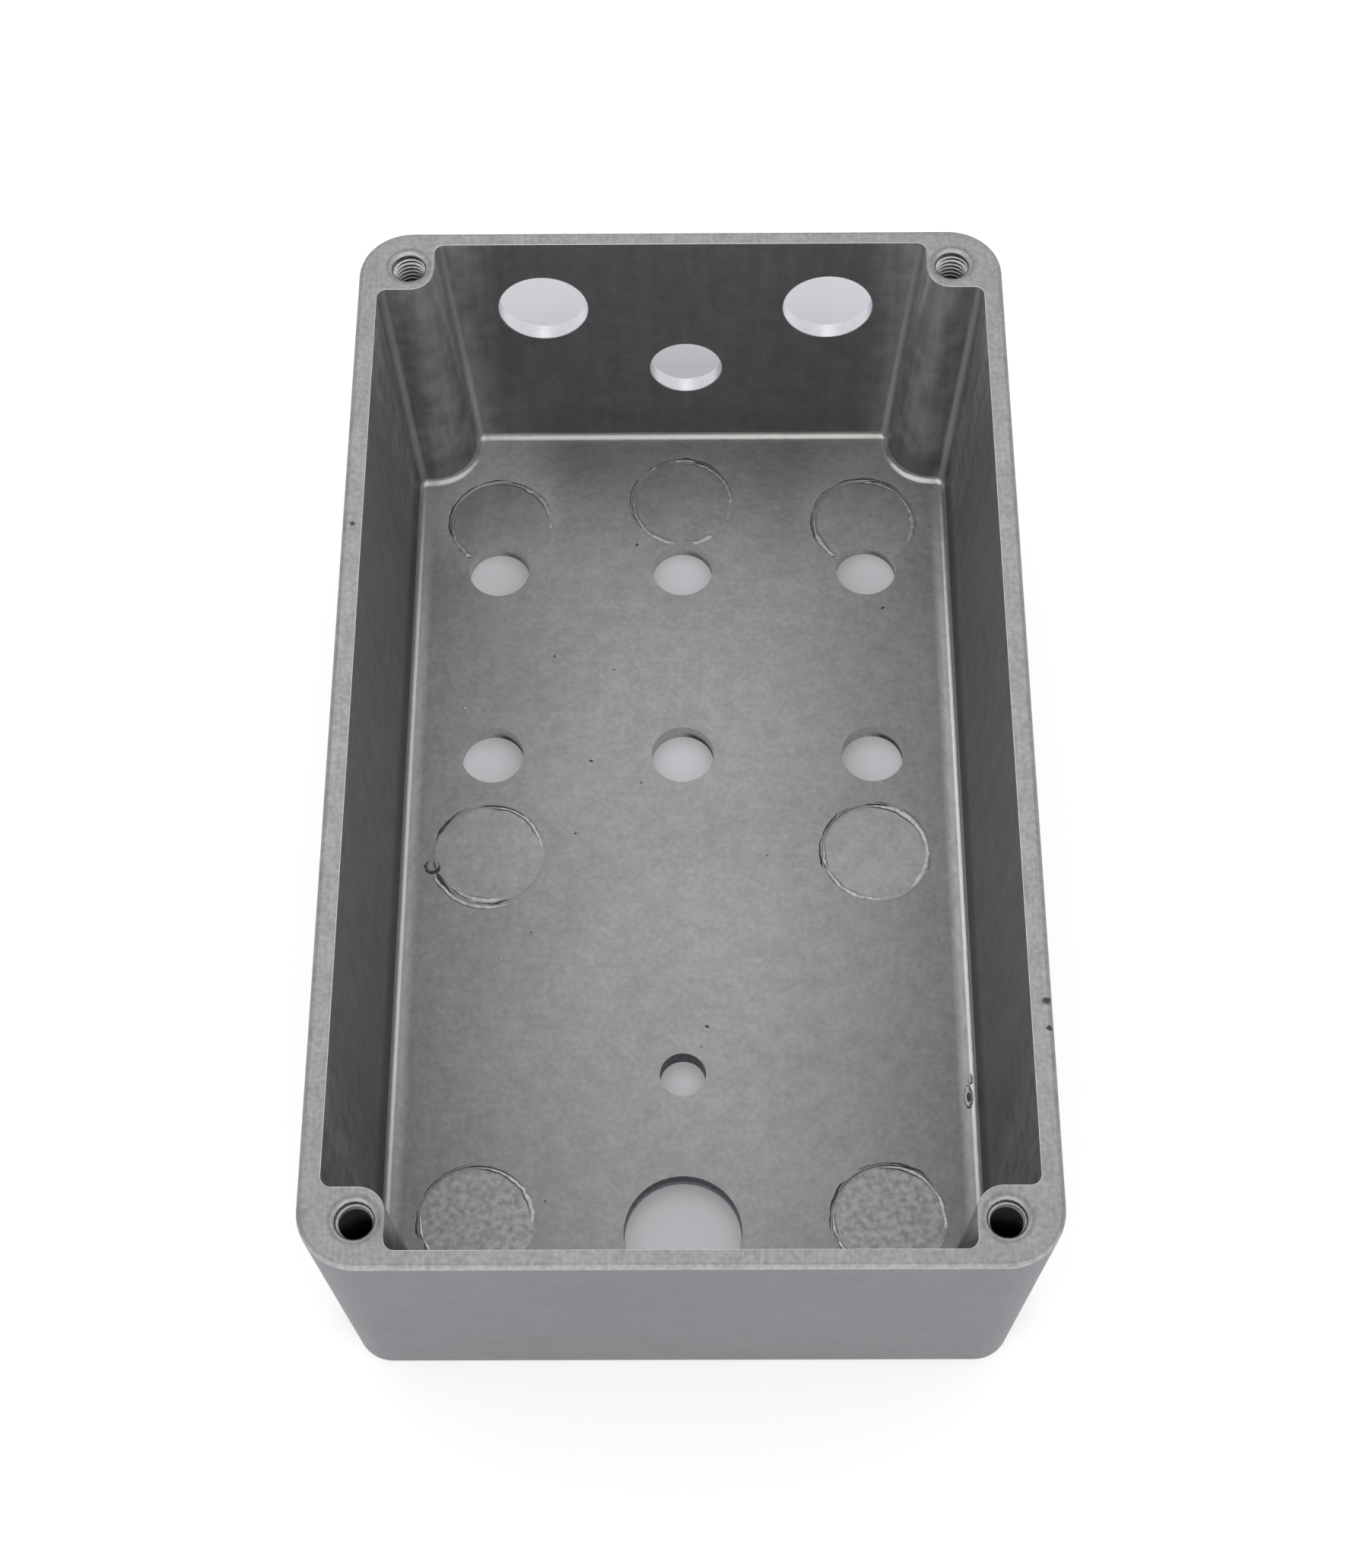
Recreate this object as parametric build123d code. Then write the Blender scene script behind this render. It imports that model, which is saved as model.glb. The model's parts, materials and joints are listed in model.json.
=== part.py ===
from build123d import *
import os
from math import radians, tan

# Body of a small die-cast effects enclosure. It lies on its closed face with the
# open rim up. Millimetres and degrees: X across the width, +Y towards the end wall
# with the socket holes, +Z up, origin under the middle of the closed face.

# Casting, measured at the open rim
rim_width = 70.0
rim_length = 118.3
body_height = 35.4
rim_corner_radius = 5.7
side_wall = 2.1
end_wall = 1.8
floor_thickness = 2.3
draft_angle = 3.4

# Rounded edges of the casting
rim_edge_radius = 0.5
closed_edge_radius = 0.8
floor_fillet = 0.8

# Corner posts for the lid screws
boss_reach = 6.05
boss_draft_angle = 4.2
boss_nose_radius = 2.6
boss_root_radius = 1.0
screw_inset_x = 3.3
screw_inset_y = 2.9
tapped_radius = 1.55
tapped_depth = 15.0
drill_point_angle = 118.0
countersink_radius = 2.2
countersink_angle = 90.0

# Marks that the ejector pins leave on the floor
pin_radius = 6.0
pin_mark_depth = 0.12
pin_column_x = 21.25
pin_row_from_end = 12.5
pin_middle_shift = -0.5
pin_centre_from_end = 9.6

# Control holes through the closed face
control_radius = 3.5
control_column_pitch = 21.3
control_row_from_end = 22.75
control_row_pitch = 24.55
lamp_radius = 2.4
lamp_to_switch = 17.4
switch_radius = 6.05
switch_from_end = 14.95

# Socket holes through the far end wall
socket_radius = 5.0
socket_pitch = 32.0
socket_height = 25.0
socket_shift = 0.5
power_radius = 4.1
power_height = 14.7

# How far a cutting body reaches past the surface that it cuts
overcut = 1.0

# How near two places have to be to count as the same place
touching = 0.01


def lean(rise, angle=draft_angle):
    """Sideways travel of a drafted face over a rise."""
    return rise * tan(radians(angle))


# The cavity at the rim, as distances from the middle, and where its floor ends
cavity_depth = body_height - floor_thickness
inner_x = rim_width / 2 - side_wall
inner_y = rim_length / 2 - end_wall
floor_y = inner_y - lean(cavity_depth)
rim_plane = Plane.XY.offset(body_height)


def corners(x, y):
    """One point in each quarter of the plan."""
    return [(side_x * x, side_y * y) for side_x in (-1, 1) for side_y in (-1, 1)]


def upright(face):
    """True for a face that stands square to the closed face."""
    return abs(face.normal_at().Z) < touching


def casting_outside():
    """Outer form: the plan of the rim drawn in towards the closed face, with a round edge there."""
    block = extrude(RectangleRounded(rim_width, rim_length, rim_corner_radius), body_height)
    block = draft(block.faces().filter_by(upright), rim_plane, -draft_angle)
    return fillet(block.faces().sort_by(Axis.Z)[0].edges(), closed_edge_radius)


def cavity_plan():
    """Plan of the cavity at the rim: square posts in the corners, round towards the middle."""
    plan = Rectangle(2 * inner_x, 2 * inner_y)
    side = boss_reach + boss_nose_radius
    x = inner_x - boss_reach + side / 2
    y = inner_y - boss_reach + side / 2
    for post_x, post_y in corners(x, y):
        plan -= Pos(post_x, post_y) * RectangleRounded(side, side, boss_nose_radius)
    return plan


def is_wall(face):
    """True for the inner faces of the four walls, before they lean."""
    middle = face.center()
    on_side = abs(abs(middle.X) - inner_x) < touching
    on_end = abs(abs(middle.Y) - inner_y) < touching
    return on_side or on_end


def is_post_root(edge):
    """True for the upright edges where a post meets a wall."""
    middle = edge.center()
    inward = lean(body_height - middle.Z)
    beside_side = abs(abs(middle.X) + inward - inner_x) < touching
    beside_end = abs(abs(middle.Y) + inward - inner_y) < touching
    tall = edge.bounding_box().size.Z > cavity_depth / 2
    return tall and (beside_side or beside_end)


def cavity():
    """Space inside the casting. Its walls and posts lean like the sides of the mould's core."""
    core = Pos(0, 0, floor_thickness) * extrude(cavity_plan(), cavity_depth)
    core = draft(core.faces().filter_by(is_wall), rim_plane, -draft_angle)
    core = draft(core.faces().filter_by(upright), rim_plane, -boss_draft_angle)
    core = fillet(core.edges().filter_by(is_post_root), boss_root_radius)
    return fillet(core.faces().sort_by(Axis.Z)[0].edges(), floor_fillet)


def tapped_hole():
    """Blind screw hole with a drill point and a countersunk mouth, from the rim down."""
    point = tapped_radius / tan(radians(drill_point_angle / 2))
    sink = (countersink_radius - tapped_radius) / tan(radians(countersink_angle / 2))
    mouth = countersink_radius + overcut * tan(radians(countersink_angle / 2))
    half = Polyline(
        (0, overcut),
        (mouth, overcut),
        (tapped_radius, -sink),
        (tapped_radius, -tapped_depth),
        (0, -tapped_depth - point),
        close=True,
    )
    return revolve(Plane.XZ * make_face(half), Axis.Z)


def screw_holes():
    """Tapped holes in the four corner posts."""
    x = inner_x - screw_inset_x
    y = inner_y - screw_inset_y
    return [Pos(px, py, body_height) * tapped_hole() for px, py in corners(x, y)]


def pin_marks():
    """Shallow round prints of the ejector pins: two columns of three and one between."""
    end_row = floor_y - pin_row_from_end
    rows = (end_row, pin_middle_shift, -end_row)
    places = [(side * pin_column_x, y) for side in (-1, 1) for y in rows]
    places.append((0, floor_y - pin_centre_from_end))
    height = pin_mark_depth + overcut
    middle = floor_thickness - pin_mark_depth + height / 2
    return [Pos(x, y, middle) * Cylinder(pin_radius, height) for x, y in places]


def floor_drill(x, y, radius):
    """Cutter for one hole through the closed face."""
    return Pos(x, y, floor_thickness / 2) * Cylinder(radius, floor_thickness + 2 * overcut)


def control_holes():
    """Two rows of three controls, the lamp and the foot switch."""
    first_row = rim_length / 2 - control_row_from_end
    switch_y = switch_from_end - rim_length / 2
    holes = []
    for row in range(2):
        y = first_row - row * control_row_pitch
        for column in (-1, 0, 1):
            holes.append(floor_drill(column * control_column_pitch, y, control_radius))
    holes.append(floor_drill(0, switch_y + lamp_to_switch, lamp_radius))
    holes.append(floor_drill(0, switch_y, switch_radius))
    return holes


def wall_drill(x, z, radius):
    """Cutter for one hole through the far end wall, level with the closed face."""
    reach = end_wall + lean(body_height) + 2 * overcut
    middle = rim_length / 2 + overcut - reach / 2
    return Pos(x, middle, z) * Rot(90, 0, 0) * Cylinder(radius, reach)


def socket_holes():
    """Two sockets side by side and the power inlet below, between them."""
    pair = [
        wall_drill(socket_shift + side * socket_pitch / 2, socket_height, socket_radius)
        for side in (-1, 1)
    ]
    return pair + [wall_drill(socket_shift, power_height, power_radius)]


def is_outer_rim(edge):
    """True for the edges that run round the outside of the rim face."""
    box = edge.bounding_box()
    reaches_side = max(abs(box.min.X), abs(box.max.X)) > rim_width / 2 - side_wall / 2
    reaches_end = max(abs(box.min.Y), abs(box.max.Y)) > rim_length / 2 - end_wall / 2
    return reaches_side or reaches_end


def enclosure_body():
    """The whole casting with its drilled and tapped holes."""
    body = casting_outside() - cavity()
    rim = body.faces().sort_by(Axis.Z)[-1]
    body = fillet(rim.edges().filter_by(is_outer_rim), rim_edge_radius)
    for cutter in screw_holes() + pin_marks() + control_holes() + socket_holes():
        body -= cutter
    return body


os.makedirs("parts", exist_ok=True)
export_step(enclosure_body(), "parts/enclosure_body.step")
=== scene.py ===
import json
from functools import partial
from math import atan2, hypot, pi, radians, tan
from random import Random

import bmesh
import bpy
from bpy.props import FloatProperty, FloatVectorProperty, IntProperty, PointerProperty
from mathutils import Matrix, Vector


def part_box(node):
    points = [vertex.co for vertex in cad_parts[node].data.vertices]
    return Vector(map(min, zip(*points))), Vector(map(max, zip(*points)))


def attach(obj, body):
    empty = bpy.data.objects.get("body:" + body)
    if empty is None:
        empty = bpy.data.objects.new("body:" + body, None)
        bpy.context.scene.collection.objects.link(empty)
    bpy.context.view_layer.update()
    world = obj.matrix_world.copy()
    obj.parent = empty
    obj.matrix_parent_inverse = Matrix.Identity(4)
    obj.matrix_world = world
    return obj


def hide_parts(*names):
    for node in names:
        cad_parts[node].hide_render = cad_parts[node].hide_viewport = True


# A drilled die-cast box for an effects pedal, open side up. The frame holds its solid, in metres.
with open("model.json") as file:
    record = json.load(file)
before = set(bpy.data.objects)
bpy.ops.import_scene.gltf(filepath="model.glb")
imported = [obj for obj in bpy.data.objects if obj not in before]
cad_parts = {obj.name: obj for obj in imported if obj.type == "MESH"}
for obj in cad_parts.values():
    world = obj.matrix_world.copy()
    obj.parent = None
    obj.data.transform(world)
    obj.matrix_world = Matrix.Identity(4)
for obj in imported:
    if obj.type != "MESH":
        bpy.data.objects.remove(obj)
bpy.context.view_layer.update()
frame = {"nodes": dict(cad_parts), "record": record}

bl_info = {
    "name": "Drilled die-cast pedal box",
    "version": (1, 0, 0),
    "blender": (4, 5, 0),
    "location": "View3D > Sidebar > Pedal box",
    "description": "Finish, screw threads, pin flash and stage of a drilled die-cast box",
    "category": "Object",
}

MM = 0.001
NODE = "enclosure_body"
BODY = "root"

# Size of the solid, and the drilled holes that its record states
BOX_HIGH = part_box(NODE)[1]
RIM_Z = BOX_HIGH.z
MOUNTS = {mount["name"]: mount for mount in frame["record"]["mounts"]}
FLOOR_HOLES = [m for m in MOUNTS.values() if m["kind"] == "bore" and m["axis"][2] != 0]
WALL_HOLES = [m for m in MOUNTS.values() if m["kind"] == "bore" and m["axis"][1] != 0]
LID_SCREWS = MOUNTS["lid_screws"]["dims"]
SCREW_X = LID_SCREWS["spacing_x_mm"] * MM / 2
SCREW_Y = LID_SCREWS["spacing_y_mm"] * MM / 2
SCREW_RADIUS = LID_SCREWS["hole_r_mm"] * MM
FLOOR_Z = FLOOR_HOLES[0]["dims"]["length_mm"] * MM

# Lean of the walls, a height inside the floor's metal, and where the flat of the floor ends
DRAFT = tan(radians(3.4))
IN_FLOOR = 1 * MM
FLAT_X = 30.1 * MM
FLAT_Y = 54.6 * MM


def linear(hex_colour):
    """Linear red, green and blue of an sRGB hex colour."""
    shares = [int(hex_colour[i:i + 2], 16) / 255 for i in (0, 2, 4)]
    return [s / 12.92 if s <= 0.04045 else ((s + 0.055) / 1.055) ** 2.4 for s in shares]


def colour_property(name, description, hex_colour):
    """A colour that the user can change."""
    return FloatVectorProperty(name=name, description=description, default=linear(hex_colour),
                               subtype="COLOR", size=3, min=0, max=1)


def length_property(name, description, millimetres):
    """A length that the user can change, given in millimetres."""
    return FloatProperty(name=name, description=description, default=millimetres * MM,
                         unit="LENGTH", precision=5)


def place_property(name, description, millimetres):
    """A place in the plan that the user can change, given in millimetres."""
    return FloatVectorProperty(name=name, description=description, size=2, precision=5,
                               default=[part * MM for part in millimetres], unit="LENGTH")


def share_property(name, description, share):
    """A number from 0 to 1 that the user can change."""
    return FloatProperty(name=name, description=description, default=share, min=0, max=1)


def angle_property(name, description, degrees):
    """An angle that the user can change, given in degrees."""
    return FloatProperty(name=name, description=description, default=radians(degrees), unit="ROTATION")


class PedalBoxCasting(bpy.types.PropertyGroup):
    """Edges and finishes of the casting."""

    rim_break: length_property("Rim break", "Width of the broken edge round the cavity's mouth", 0.16)
    hole_break: length_property("Hole break", "Width of the deburred edge of a drilled hole", 0.1)
    pin_sink: length_property("Pin sink", "How much deeper one side of each pin mark lies", 0.16)
    grain: length_property("Grain", "Width of the cast skin's grain", 0.6)
    mottle: length_property("Mottle", "Width of the patches in the cast skin", 2.2)
    cloud: length_property("Cloud", "Width of the large pale areas in the cast skin", 15)
    drag: length_property("Drag", "Width of the drag marks on upright faces", 1.3)
    relief: length_property("Relief", "Depth of the cast skin's relief", 0.03)
    # Wall tone is a painted shade that darkens the upright faces against the floor
    wall_shade_tone: share_property("Wall tone", "Tone of upright faces against the floor", 0.76)
    post_paleness: share_property("Post paleness", "How much paler and more streaked the posts are", 0.9)
    dark_colour: colour_property("Dark skin", "Darker parts of the cast skin", "949496")
    light_colour: colour_property("Light skin", "Paler parts of the cast skin", "A5A4A3")
    seat_radius: length_property("Seat radius", "Radius of the seat round each lid screw", 2.35)
    large_pore: place_property("Large pore", "Larger pore in the right side of the rim", (34.4, -33.1))
    small_pore: place_property("Small pore", "Smaller pore in front of it", (34.45, -35.9))
    left_pore: place_property("Left pore", "Pore in the left side of the rim", (-33.9, 20.9))
    outside_colour: colour_property("Outside", "Tumbled skin outside the box", "868589")
    rim_colour: colour_property("Rim", "Ground rim", "909090")
    drilled_colour: colour_property("Drilled", "Walls of the control holes", "C0BDBC")
    # Hole shade colour: painted shade on the walls of the lamp hole and the switch hole
    hole_shade_colour: colour_property("Smeared", "Walls of the lamp hole and the switch hole", "66666D")
    cut_colour: colour_property("Cut metal", "Freshly tapped metal", "E6E6E4")
    # Fillet colour: a painted highlight along the floor's fillet, beside it and at the posts' roots
    fillet_highlight_colour: colour_property("Fillet", "Floor's fillet, rubbed bright by the core", "CFCFCC")
    edge_colour: colour_property("Edges", "Broken edges and the walls of the socket holes", "D3D3D8")


class PedalBoxThread(bpy.types.PropertyGroup):
    """Thread in the corner posts."""

    major_radius: length_property("Major radius", "Radius at the bottom of the thread's groove", 1.75)
    pitch: length_property("Pitch", "Distance from one turn to the next", 0.6)
    depth: length_property("Depth", "Depth of the tapped hole below the rim", 15)
    steps: IntProperty(name="Steps", description="Straight steps in one turn", default=36, min=12)


class PedalBoxFlash(bpy.types.PropertyGroup):
    """Flash that the ejector pins leave on the floor."""

    pin_radius: length_property("Pin radius", "Radius of an ejector pin", 6)
    column: length_property("Column", "Distance of the outer pins from the middle", 21.25)
    row: length_property("Row", "Distance of the end rows from the middle", 42.884)
    middle_shift: length_property("Middle shift", "Offset of the middle row", -0.5)
    centre_pin: length_property("Centre pin", "Place of the pin between the columns", 45.784)
    width: length_property("Width", "Width of the ridge", 0.78)
    height: length_property("Height", "Height of the ridge over the floor", 0.11)
    # Flash colour: metal paler than the floor, partly a painted highlight on the ridges
    flash_and_highlight_colour: colour_property("Flash", "Metal squeezed up round a pin", "B8B8B6")
    # Dark colour of the floor's pits, and painted shade in the gaps round the pins
    oxide_and_shade_colour: colour_property("Gap", "Oxide in the gap round a pin", "5A5A5E")
    steps: IntProperty(name="Steps", description="Points along each ridge", default=180, min=24)
    seed: FloatProperty(name="Seed", description="Place in the noise that breaks the ridge up", default=3.7)
    curl: place_property("Curl", "Curl of flash on the middle pin of the left column", (-27.5, -2.1))
    curl_radius: length_property("Curl radius", "Radius of the curl of flash", 0.75)


class PedalBoxBlemishes(bpy.types.PropertyGroup):
    """Small faults of the casting."""

    speck: length_property("Speck", "Width of a usual pit or fleck", 0.26)
    pits: IntProperty(name="Pits", description="Dark pits on the floor", default=12, min=0)
    flecks: IntProperty(name="Flecks", description="Pale flecks on the floor", default=16, min=0)
    seed: IntProperty(name="Seed", description="Chooses the places of the pits and flecks", default=4)
    lump: place_property("Lump", "Lump of metal at the foot of the right wall", (30.0, -27.4))


class PedalBoxStage(bpy.types.PropertyGroup):
    """Camera and floor."""

    lens: FloatProperty(name="Lens", description="Focal length for a 36 mm sensor", default=64.286,
                        unit="CAMERA")
    eye: FloatVectorProperty(name="Eye", description="Place of the camera", subtype="TRANSLATION",
                             default=(0.001766, -0.140198, 0.276929), precision=6)
    tilt: angle_property("Tilt", "Angle of view below the horizon", 61.633)
    pan: angle_property("Pan", "Turn of the view to the right", -0.732)
    roll: angle_property("Roll", "Turn of the camera about its view", 0.867)
    floor_colour: colour_property("Floor", "Pale floor", "BCBBC3")
    glow_colour: colour_property("Glow", "What makes the open floor white for the camera", "CFD0CB")
    # Shaded glow and contact glow paint the box's shadow on the floor
    shaded_glow: share_property("Shaded glow", "Glow of the floor in the box's shade", 0.25)
    contact_glow: share_property("Contact glow", "Glow of the floor right behind the box", 0.09)
    shade_behind: length_property("Shade behind", "How far the floor stays shaded behind the box", 30)
    shade_fade: length_property("Shade fade", "Width over which the shade fades out", 6)


def add_node(tree, kind, inputs=None, **settings):
    """Adds a node with its settings, gives each input a value or a link, and returns its outputs."""
    made = tree.nodes.new(kind)
    for name, value in settings.items():
        setattr(made, name, value)
    for socket, given in (inputs or {}).items():
        if isinstance(given, bpy.types.NodeSocket):
            tree.links.new(given, made.inputs[socket])
        else:
            made.inputs[socket].default_value = given
    return made.outputs


MATH, VECTOR_MATH, MAP_RANGE = "ShaderNodeMath", "ShaderNodeVectorMath", "ShaderNodeMapRange"
MIX, NOISE, MAPPING = "ShaderNodeMix", "ShaderNodeTexNoise", "ShaderNodeMapping"
SPLIT, JOIN = "ShaderNodeSeparateXYZ", "ShaderNodeCombineXYZ"

# Sockets of a Map Range node besides its value, and of a Mix node in its colour mode
START, END, LOW, HIGH = range(1, 5)
MIX_A, MIX_B, MIX_RESULT = 6, 7, 2

# How far a pattern is drawn out along X, Y and Z
EVEN = (1, 1, 1)
UPRIGHT = (1, 1, 14)
ALONG_BOX = (1, 16, 1)


def shade(colour, factor):
    """A lighter or darker tone of a colour."""
    return [min(1, part * factor) for part in colour]


def metal(name, roughness):
    """Starts a metal and returns it, what adds nodes to it, its shader and its Object coordinates."""
    material = bpy.data.materials.new(name)
    material.use_nodes = True
    add = partial(add_node, material.node_tree)
    shader = material.node_tree.nodes["Principled BSDF"]
    shader.inputs["Metallic"].default_value = 1.0
    shader.inputs["Roughness"].default_value = roughness
    return material, add, shader, add("ShaderNodeTexCoord")["Object"]


def layered(add, place, layers):
    """A tone round 0.5, of noises given as feature width, share and stretch along X, Y and Z."""
    total = 0.0
    for width, share, stretch in layers:
        pulled = add(MAPPING, {"Vector": place, "Scale": [1 / part for part in stretch]})[0]
        grain = add(NOISE, {"Vector": pulled, "Scale": 1 / width, "Detail": 2.0})["Fac"]
        total = add(MATH, {0: grain, 1: share, 2: total}, operation="MULTIPLY_ADD")[0]
    return total


def toned(add, tone, dark, light, spread=0.12):
    """A colour between dark and light, by a tone that strays from 0.5 by about the spread."""
    share = add(MAP_RANGE, {0: tone, START: 0.5 - spread, END: 0.5 + spread})[0]
    return add(MIX, {0: share, MIX_A: (*dark, 1), MIX_B: (*light, 1)}, data_type="RGBA")[MIX_RESULT]


def finish(add, shader, colour, factors, height, depth):
    """Gives a shader its colour times each factor, and a relief as deep as given."""
    for factor in factors:
        colour = add(VECTOR_MATH, {0: colour, "Scale": factor}, operation="SCALE")[0]
    relief = add("ShaderNodeBump", {"Distance": depth, "Height": height})["Normal"]
    shader.id_data.links.new(colour, shader.inputs["Base Color"])
    shader.id_data.links.new(relief, shader.inputs["Normal"])


def speckled(name, roughness, colour, tones, width, depth):
    """A metal with one even speckle between two tones of a colour. The speckle is its relief too."""
    material, add, shader, place = metal(name, roughness)
    tone = layered(add, place, [(width, 1.0, EVEN)])
    dark, light = tones
    finish(add, shader, toned(add, tone, shade(colour, dark), shade(colour, light)), [], tone, depth)
    return material


def skin_tone(add, settings, place):
    """Tone of the cast skin: its grain, patches and large pale areas."""
    return layered(add, place, [(settings.grain, 0.4, EVEN), (settings.mottle, 0.35, EVEN),
                                (settings.cloud, 0.25, EVEN)])


def painted_fillet_highlight(add, facing, plan, where, off_wall):
    """How strong the painted highlight is: along the floor's fillet and beside it,
    and at the roots of the posts, less on the left and at the near end."""
    off_floor = add(MAP_RANGE, {0: facing["Z"], START: 0.999, END: 0.975})[0]
    fillet = add(MATH, {0: off_wall, 1: off_floor}, operation="MULTIPLY")[0]
    turned = add(MATH, {0: facing["X"], 1: facing["Y"]}, operation="MULTIPLY")[0]
    turned = add(MATH, {0: turned}, operation="ABSOLUTE")[0]
    turned = add(MAP_RANGE, {0: turned, START: 0.12, END: 0.35, HIGH: 0.8})[0]
    corner = add(MATH, {0: plan["X"], 1: plan["Y"]}, operation="ADD")[0]
    corner = add(MAP_RANGE, {0: corner, START: 78.5 * MM, END: 80 * MM})[0]
    root = add(MATH, {0: turned, 1: corner}, operation="MULTIPLY")[0]
    beside = add(MAP_RANGE, {0: plan["X"], START: FLAT_X - 1.2 * MM, END: FLAT_X - 0.3 * MM, HIGH: 0.45})[0]
    behind = add(MAP_RANGE, {0: plan["Y"], START: FLAT_Y - 0.4 * MM, END: FLAT_Y + 0.3 * MM, HIGH: 0.5})[0]
    strip = add(MATH, {0: beside, 1: behind}, operation="MAXIMUM")[0]
    strip = add(MATH, {0: strip, 1: off_wall}, operation="MULTIPLY")[0]
    painted = fillet
    for part in (strip, root):
        painted = add(MATH, {0: painted, 1: part}, operation="MAXIMUM")[0]
    near = add(MAP_RANGE, {0: where["Y"], START: -54 * MM, END: -28 * MM, LOW: 0.4})[0]
    left = add(MAP_RANGE, {0: where["X"], START: -30 * MM, END: 20 * MM, LOW: 0.68})[0]
    for share in (near, left):
        painted = add(MATH, {0: painted, 1: share}, operation="MULTIPLY")[0]
    return painted


def upright_skin(add, settings, place, plan, where):
    """Colour of the walls and posts: drag marks from the core, and paler smears on the posts, with the far
    posts paler still. The walls are darker by the wall tone, a painted shade, and more painted shade darkens
    their foot and the near end. The near posts get painted light on the side that faces the far end, and
    painted shade behind it."""
    dark, light = settings.dark_colour, settings.light_colour
    drag = layered(add, place, [(settings.drag, 0.3, UPRIGHT), (settings.grain, 0.3, EVEN),
                                (settings.mottle, 0.4, EVEN)])
    # The walls are darker than the floor by the wall tone, a painted shade
    walls = toned(add, drag, shade(dark, settings.wall_shade_tone), shade(light, settings.wall_shade_tone))
    smears = layered(add, place, [(settings.drag, 0.45, UPRIGHT), (settings.mottle, 0.55, EVEN)])
    posts = toned(add, smears, shade(dark, 0.9), shade(light, 1.2), 0.14)
    # The posts are where the distances from the middle, across and along, have a large product
    post_starts, post_full = 1150 * MM * MM, 1400 * MM * MM
    corner = add(MATH, {0: plan["X"], 1: plan["Y"]}, operation="MULTIPLY")[0]
    on_post = add(MAP_RANGE, {0: corner, START: post_starts, END: post_full, HIGH: settings.post_paleness})[0]
    colour = add(MIX, {0: on_post, MIX_A: walls, MIX_B: posts}, data_type="RGBA")[MIX_RESULT]
    # Painted shade at the foot of the walls, less at the far end, and at the near end
    least = add(MAP_RANGE, {0: where["Y"], START: 46 * MM, END: 54 * MM, LOW: 0.5, HIGH: 0.88})[0]
    foot = add(MAP_RANGE, {0: plan["Z"], START: FLOOR_Z + 3 * MM, END: FLOOR_Z + 6 * MM, LOW: least})[0]
    near = add(MAP_RANGE, {0: where["Y"], START: -52 * MM, END: -30 * MM, LOW: 0.6})[0]
    nose = add(MAP_RANGE, {0: plan["X"], START: 31 * MM, END: 29 * MM, HIGH: on_post})[0]
    # The painted light on the side of a near post ends on a line that moves towards the near end as it rises
    edge_slope = -0.277
    behind = add(MATH, {0: plan["Z"], 1: edge_slope, 2: plan["Y"]}, operation="MULTIPLY_ADD")[0]
    side = add(MAP_RANGE, {0: behind, START: 45 * MM, END: 46.8 * MM, LOW: 2.3, HIGH: 0.8})[0]
    near_post = add(MAP_RANGE, {0: where["Y"], START: -45 * MM, END: -48 * MM, HIGH: nose})[0]
    side = add(MAP_RANGE, {0: near_post, LOW: 1.0, HIGH: side})[0]
    far_post = add(MAP_RANGE, {0: where["Y"], START: 40 * MM, END: 46 * MM, HIGH: nose})[0]
    pale = add(MAP_RANGE, {0: far_post, LOW: 1.0, HIGH: 1.35})[0]
    for factor in (foot, near, side, pale):
        colour = add(VECTOR_MATH, {0: colour, "Scale": factor}, operation="SCALE")[0]
    return colour


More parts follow.
